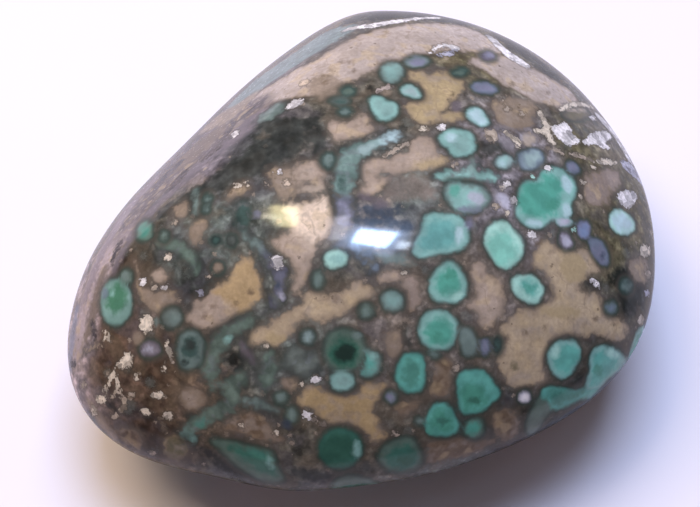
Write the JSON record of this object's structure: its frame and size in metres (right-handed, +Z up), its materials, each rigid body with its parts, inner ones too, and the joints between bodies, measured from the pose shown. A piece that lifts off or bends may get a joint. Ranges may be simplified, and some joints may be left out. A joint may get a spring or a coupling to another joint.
{
  "type": "variscite clam pseudomorph",
  "caption": "Polished stone in the form of a closed clam shell: domed above and below, thin at the margin, with a steep flank at the hinge and a small flat to rest on.",
  "frame": {"origin": "middle of the footprint, at the level of the ground flat that the stone rests on", "axes": "+X along the shell's length towards its broad end, +Y towards the hinge side, +Z up through the upper valve"},
  "size_m": [0.0562, 0.0512, 0.0269],
  "materials": {
    "polished_variscite": "high polish over brown and tan matrix with green, blue-grey and white nodules"
  },
  "bodies": {
    "root": {"variscite_clam": "polished_variscite"}
  },
  "joints": []
}
